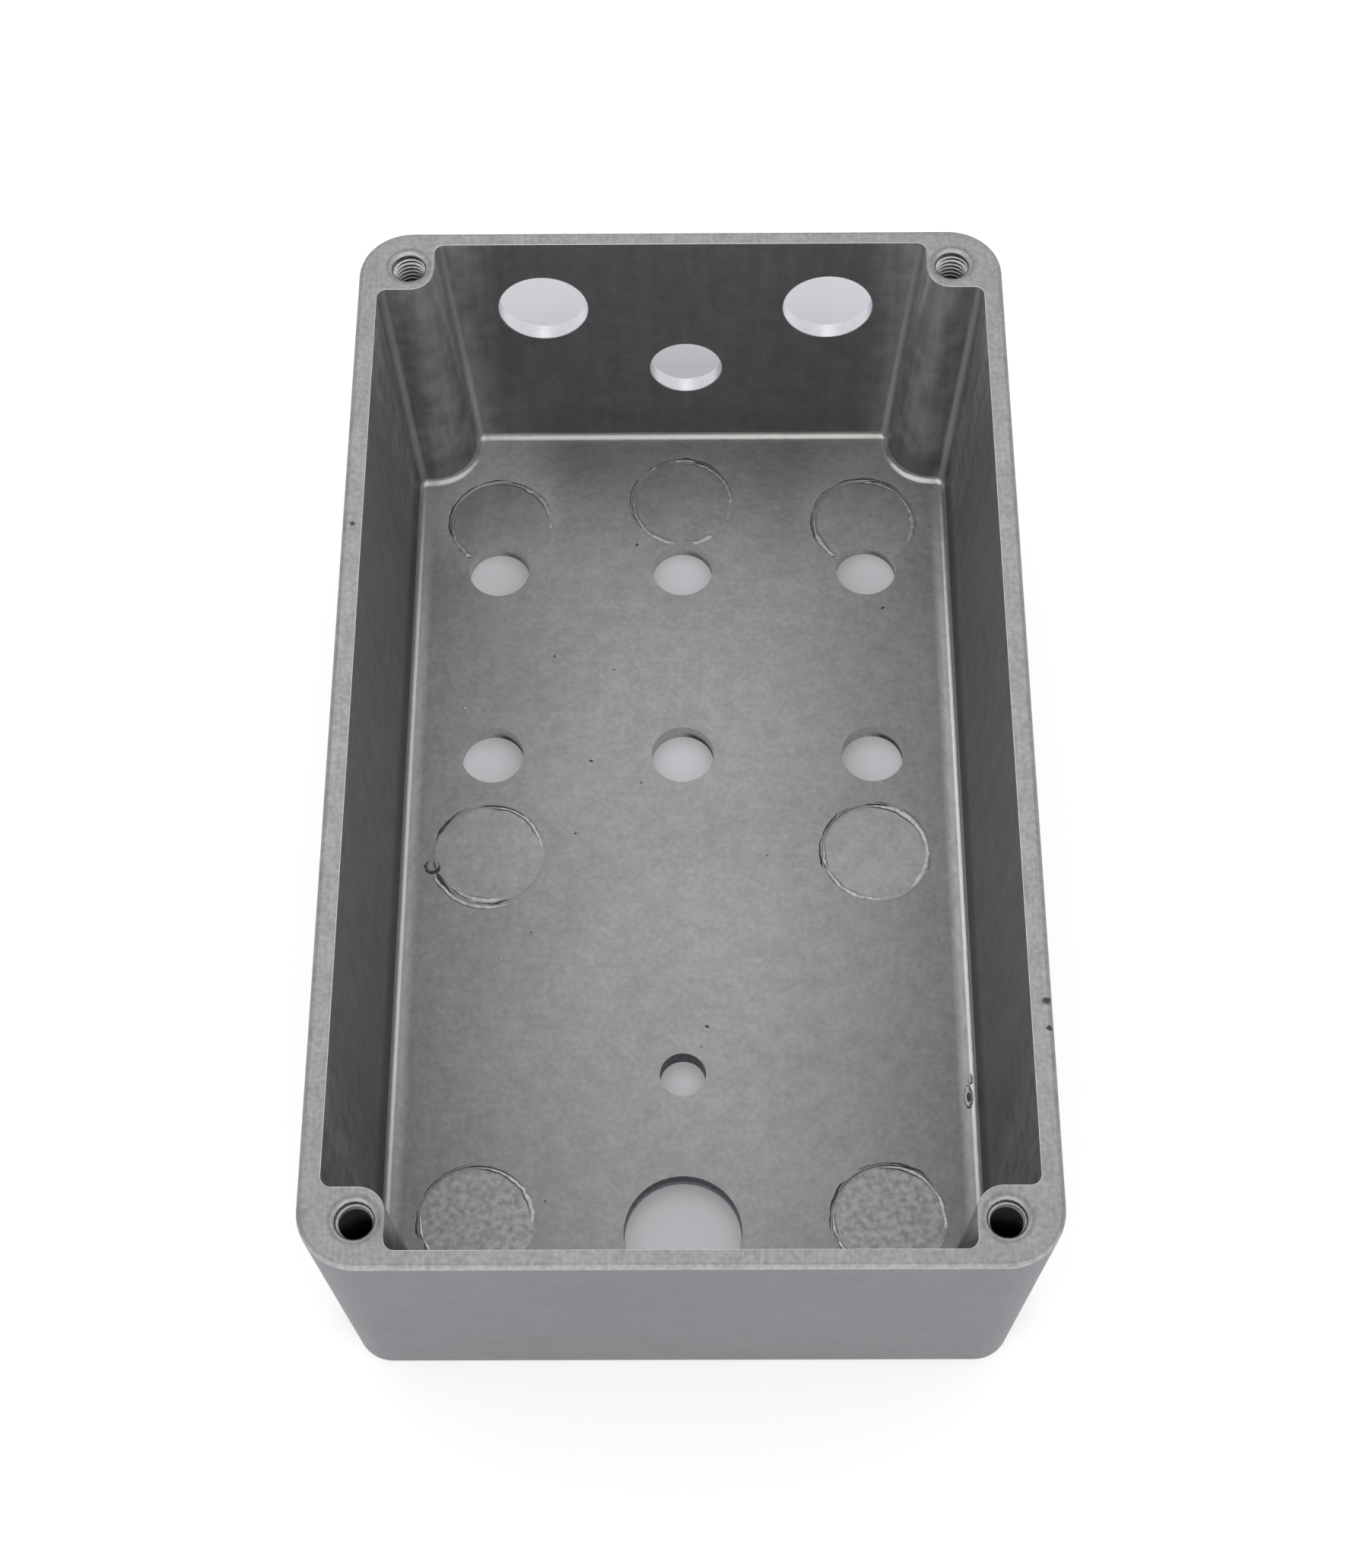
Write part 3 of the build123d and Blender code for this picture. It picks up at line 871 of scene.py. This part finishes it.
def oxide_in_gap(settings):
    """Nearly black and dull: painted shade in the gap round an ejector pin, and the dark oxide of the floor's
    pits.
    """
    return speckled("oxide_in_gap", 0.7, settings.oxide_and_shade_colour, (0.7, 1.3), 0.4 * MM, 0.02 * MM)


class PEDALBOX_OT_pin_flash(bpy.types.Operator):
    """Raise the flash round the marks of the ejector pins, and lay dark strands of painted shade in the gaps
    beside it
    """

    bl_idname = "pedal_box.pin_flash"
    bl_label = "Pin flash"

    def execute(self, context):
        settings = context.scene.pedal_box_flash
        places = pin_places(settings)
        left_middle = [places.pop(1)]
        width, height, radius = settings.width, settings.height, settings.pin_radius
        inner, gap, outer = radius - width / 3, radius + width / 5, radius + width * 0.75
        level = FLOOR_Z - height / 2
        near = [place for place in places if place.y < -20 * MM]
        flash = ring_points([place for place in places if place not in near], inner, level, -50, -0.9)
        flash += ring_points(near, inner, level, -50, -0.9, 0.75)
        flash += ring_points(left_middle, inner, level, -20, -0.5, 0.9)
        flash += ring_points(left_middle, outer, FLOOR_Z, 245, 0.5, 0.7)
        # Dark strands of painted shade in the gaps round the pins and along the curl
        gaps = ring_points(places, gap, FLOOR_Z, 125, -0.1, 0.7)
        gaps += ring_points(left_middle, gap, FLOOR_Z, 205, -0.1, 1.3)
        gaps += ring_points([settings.curl], settings.curl_radius, FLOOR_Z, 215, -1.1, 1.5)
        tree = flash_tree()
        for name, points, size, least, seed, material in (
            ("pin_flash", flash, (width, height), 0.3, settings.seed, squeezed_metal(settings)),
            ("pin_gaps", gaps, (width * 0.4, height / 2), -0.15, settings.seed + 5, oxide_in_gap(settings)),
        ):
            piece = tree.build(context, name, point_mesh(name, points, RING_VALUES), {
                "Width": size[0], "Height": size[1], "Steps": settings.steps, "Seed": seed,
                "Least": least, "Material": material,
            })
            piece.data.shade_smooth()
            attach(piece, BODY)
        return {"FINISHED"}


# Values that each point of the specks carries
SPECK_VALUES = ("size", "length", "turn")


def speck_tree():
    """A small flat lump at each point of a mesh, in the size and turn that the point carries."""
    made = NodeTree("specks", ["Flatness"])
    add = made.add
    size, length, turn = [
        add("GeometryNodeInputNamedAttribute", {"Name": name}, data_type="FLOAT")[0]
        for name in SPECK_VALUES
    ]
    lump = add("GeometryNodeMeshIcoSphere", {"Radius": 0.5, "Subdivisions": 2})[0]
    flat = add(MATH, {0: size, 1: made.given["Flatness"]}, operation="MULTIPLY")[0]
    long = add(MATH, {0: size, 1: length}, operation="MULTIPLY")[0]
    made.end(add("GeometryNodeInstanceOnPoints", {
        "Points": made.given["Geometry"], "Instance": lump,
        "Scale": add(JOIN, {"X": long, "Y": size, "Z": flat})[0],
        "Rotation": add(JOIN, {"Z": turn})[0],
    })[0])
    return made


def speck(at, size, length, turn):
    """A point with the values of one speck."""
    return {"at": at, "size": size, "length": length, "turn": turn}


def scattered(settings, count, chance, marks):
    """Specks at free places of the floor, away from the pin marks."""
    side, near, far = 27, -51, 48
    mark_reach, hole_margin = 7 * MM, 0.6 * MM
    points = []
    while len(points) < count:
        place = Vector((chance.uniform(-side, side) * MM, chance.uniform(near, far) * MM, FLOOR_Z))
        on_mark = any((place.xy - mark).length < mark_reach for mark in marks)
        if not on_mark and not any(in_hole(place, hole, hole_margin) for hole in FLOOR_HOLES):
            size = settings.speck * chance.uniform(0.5, 1.3)
            points.append(speck(place, size, chance.uniform(1, 1.8), chance.uniform(0, pi)))
    return points


class PEDALBOX_OT_blemishes(bpy.types.Operator):
    """Add the casting's blemishes: pits, flecks, and a lump by the right wall"""

    bl_idname = "pedal_box.blemishes"
    bl_label = "Blemishes"

    def execute(self, context):
        settings = context.scene.pedal_box_blemishes
        chance = Random(settings.seed)
        marks = pin_places(context.scene.pedal_box_flash)
        edge_x, lump_y = settings.lump
        on_floor = FLOOR_Z + 0.1 * MM
        pits = scattered(settings, settings.pits, chance, marks)
        pits.append(speck((edge_x, lump_y - 2.1 * MM, on_floor + 0.1 * MM), 0.5 * MM, 2.4, pi / 2))
        flecks = scattered(settings, settings.flecks, chance, marks)
        flecks.append(speck((edge_x, lump_y - 2 * MM, on_floor), 0.95 * MM, 2.8, pi / 2))
        flecks.append(speck((edge_x + 0.3 * MM, lump_y, on_floor), 0.5 * MM, 2.4, pi / 2))
        tree = speck_tree()
        for name, points, material in (("pits", pits, "oxide_in_gap"), ("flecks", flecks, "squeezed_flash")):
            piece = tree.build(context, name, point_mesh(name, points, SPECK_VALUES), {
                "Flatness": 0.3, "Material": bpy.data.materials[material],
            })
            piece.data.shade_smooth()
            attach(piece, BODY)
        return {"FINISHED"}


def pale_floor(settings):
    """Matt pale board: white in the open, with a painted lilac-grey shadow under and close behind the
    box, where the drilled holes look out on it: there its glow is turned down, most of all right behind the
    box."""
    material = bpy.data.materials.new("matt_pale_board")
    material.use_nodes = True
    tree = material.node_tree
    tree.nodes.clear()
    add = partial(add_node, tree)
    place = add("ShaderNodeTexCoord")["Object"]
    # A painted shadow: the glow is turned down under the box and for the shade behind past its far end
    side_inset, end_inset, side_softness = 11 * MM, 7.5 * MM, 0.43
    contact_middle, contact_reach = BOX_HIGH.y + 8 * MM, 11 * MM
    middle = (0, settings.shade_behind / 2, 0)
    half = (BOX_HIGH.x - side_inset, BOX_HIGH.y - end_inset + settings.shade_behind / 2, 0)
    away = add(VECTOR_MATH, {0: place, 1: middle}, operation="SUBTRACT")[0]
    away = add(VECTOR_MATH, {0: away}, operation="ABSOLUTE")[0]
    away = add(VECTOR_MATH, {0: away, 1: half}, operation="SUBTRACT")[0]
    away = add(VECTOR_MATH, {0: away, 1: (0, 0, 0)}, operation="MAXIMUM")[0]
    away = add(VECTOR_MATH, {0: away, 1: (side_softness, 1, 1)}, operation="MULTIPLY")[0]
    away = add(VECTOR_MATH, {0: away}, operation="LENGTH")["Value"]
    # Painted contact shadow: the glow is lowest right behind the box
    behind = add(MATH, {0: add(SPLIT, {0: place})["Y"], 1: contact_middle}, operation="SUBTRACT")[0]
    behind = add(MATH, {0: behind}, operation="ABSOLUTE")[0]
    contact_shadow = add(MAP_RANGE, {0: behind, END: contact_reach, LOW: settings.contact_glow,
                              HIGH: settings.shaded_glow})[0]
    in_open = add(MAP_RANGE, {0: away, END: settings.shade_fade, LOW: contact_shadow},
                  interpolation_type="SMOOTHSTEP")[0]

    # 1 where the camera looks, straight, in a reflection or through glass, and 0 for plain light
    path = add("ShaderNodeLightPath")
    seen = add(MATH, {0: path["Is Camera Ray"], 1: path["Is Glossy Ray"]}, operation="ADD")[0]
    seen = add(MATH, {0: seen, 1: path["Is Transmission Ray"]}, operation="ADD", use_clamp=True)[0]
    strength = add(MATH, {0: in_open, 1: seen}, operation="MULTIPLY")[0]
    board = add("ShaderNodeBsdfDiffuse", {"Color": (*settings.floor_colour, 1)})[0]
    glow = add("ShaderNodeEmission", {"Color": (*settings.glow_colour, 1), "Strength": strength})[0]
    both = add("ShaderNodeAddShader", {0: board, 1: glow})[0]
    add("ShaderNodeOutputMaterial", {"Surface": both})
    return material


def studio_world():
    """A plain white room."""
    world = bpy.data.worlds.new("studio")
    world.use_nodes = True
    background = world.node_tree.nodes["Background"].inputs
    background["Color"].default_value = (1, 1, 1, 1)
    background["Strength"].default_value = 1.0
    return world


def lamp(context, name, place, size, power):
    """A square soft lamp that points at the box."""
    data = bpy.data.lights.new(name, "AREA")
    data.size = size
    data.energy = power
    made = bpy.data.objects.new(name, data)
    made.location = place
    made.rotation_euler = (-Vector(place)).to_track_quat("-Z", "Y").to_euler()
    context.scene.collection.objects.link(made)


def camera(context, settings):
    """The camera at the photograph's place."""
    data = bpy.data.cameras.new("camera")
    data.sensor_width = 36
    data.lens = settings.lens
    data.clip_start = 0.01
    made = bpy.data.objects.new("camera", data)
    turn = (Matrix.Rotation(-settings.pan, 4, "Z") @ Matrix.Rotation(pi / 2 - settings.tilt, 4, "X")
            @ Matrix.Rotation(-settings.roll, 4, "Z"))
    made.matrix_world = Matrix.Translation(settings.eye) @ turn
    context.scene.collection.objects.link(made)
    context.scene.camera = made


class PEDALBOX_OT_stage(bpy.types.Operator):
    """Set up the floor, the lamp, the world and the camera"""

    bl_idname = "pedal_box.stage"
    bl_label = "Stage"

    def execute(self, context):
        settings = context.scene.pedal_box_stage
        half = 1.5
        lamp_place, lamp_size, lamp_power = (-0.01, 0.34, 0.7), 0.25, 0.4
        mesh = bpy.data.meshes.new("floor")
        corners = [(-half, -half, 0), (half, -half, 0), (half, half, 0), (-half, half, 0)]
        mesh.from_pydata(corners, [], [(0, 1, 2, 3)])
        mesh.materials.append(pale_floor(settings))
        floor = bpy.data.objects.new("floor", mesh)
        context.scene.collection.objects.link(floor)
        context.scene.world = studio_world()
        lamp(context, "key", lamp_place, lamp_size, lamp_power)
        camera(context, settings)
        context.scene.view_settings.view_transform = "Standard"
        return {"FINISHED"}


class PEDALBOX_PT_panel(bpy.types.Panel):
    """Lists the pieces of the pedal box"""

    bl_label = "Pedal box"
    bl_idname = "PEDALBOX_PT_panel"
    bl_space_type = "VIEW_3D"
    bl_region_type = "UI"
    bl_category = "Pedal box"

    def draw(self, context):
        for operator, name, group in STEPS:
            column = self.layout.column(align=True)
            column.operator(operator.bl_idname)
            for setting in group.__annotations__:
                column.prop(getattr(context.scene, name), setting)


# Each operator, with the name that its settings have in the scene and their group
STEPS = [
    (PEDALBOX_OT_casting, "pedal_box_casting", PedalBoxCasting),
    (PEDALBOX_OT_screw_threads, "pedal_box_thread", PedalBoxThread),
    (PEDALBOX_OT_pin_flash, "pedal_box_flash", PedalBoxFlash),
    (PEDALBOX_OT_blemishes, "pedal_box_blemishes", PedalBoxBlemishes),
    (PEDALBOX_OT_stage, "pedal_box_stage", PedalBoxStage),
]
OPERATORS, NAMES, GROUPS = zip(*STEPS)
CLASSES = [*GROUPS, *OPERATORS, PEDALBOX_PT_panel]


def register():
    for item in CLASSES:
        bpy.utils.register_class(item)
    for name, group in zip(NAMES, GROUPS):
        setattr(bpy.types.Scene, name, PointerProperty(type=group))


def unregister():
    for name in NAMES:
        delattr(bpy.types.Scene, name)
    for item in reversed(CLASSES):
        bpy.utils.unregister_class(item)


def main():
    register()
    bpy.ops.pedal_box.casting()
    bpy.ops.pedal_box.screw_threads()
    bpy.ops.pedal_box.pin_flash()
    bpy.ops.pedal_box.blemishes()
    bpy.ops.pedal_box.stage()


if __name__ == "__main__":
    main()
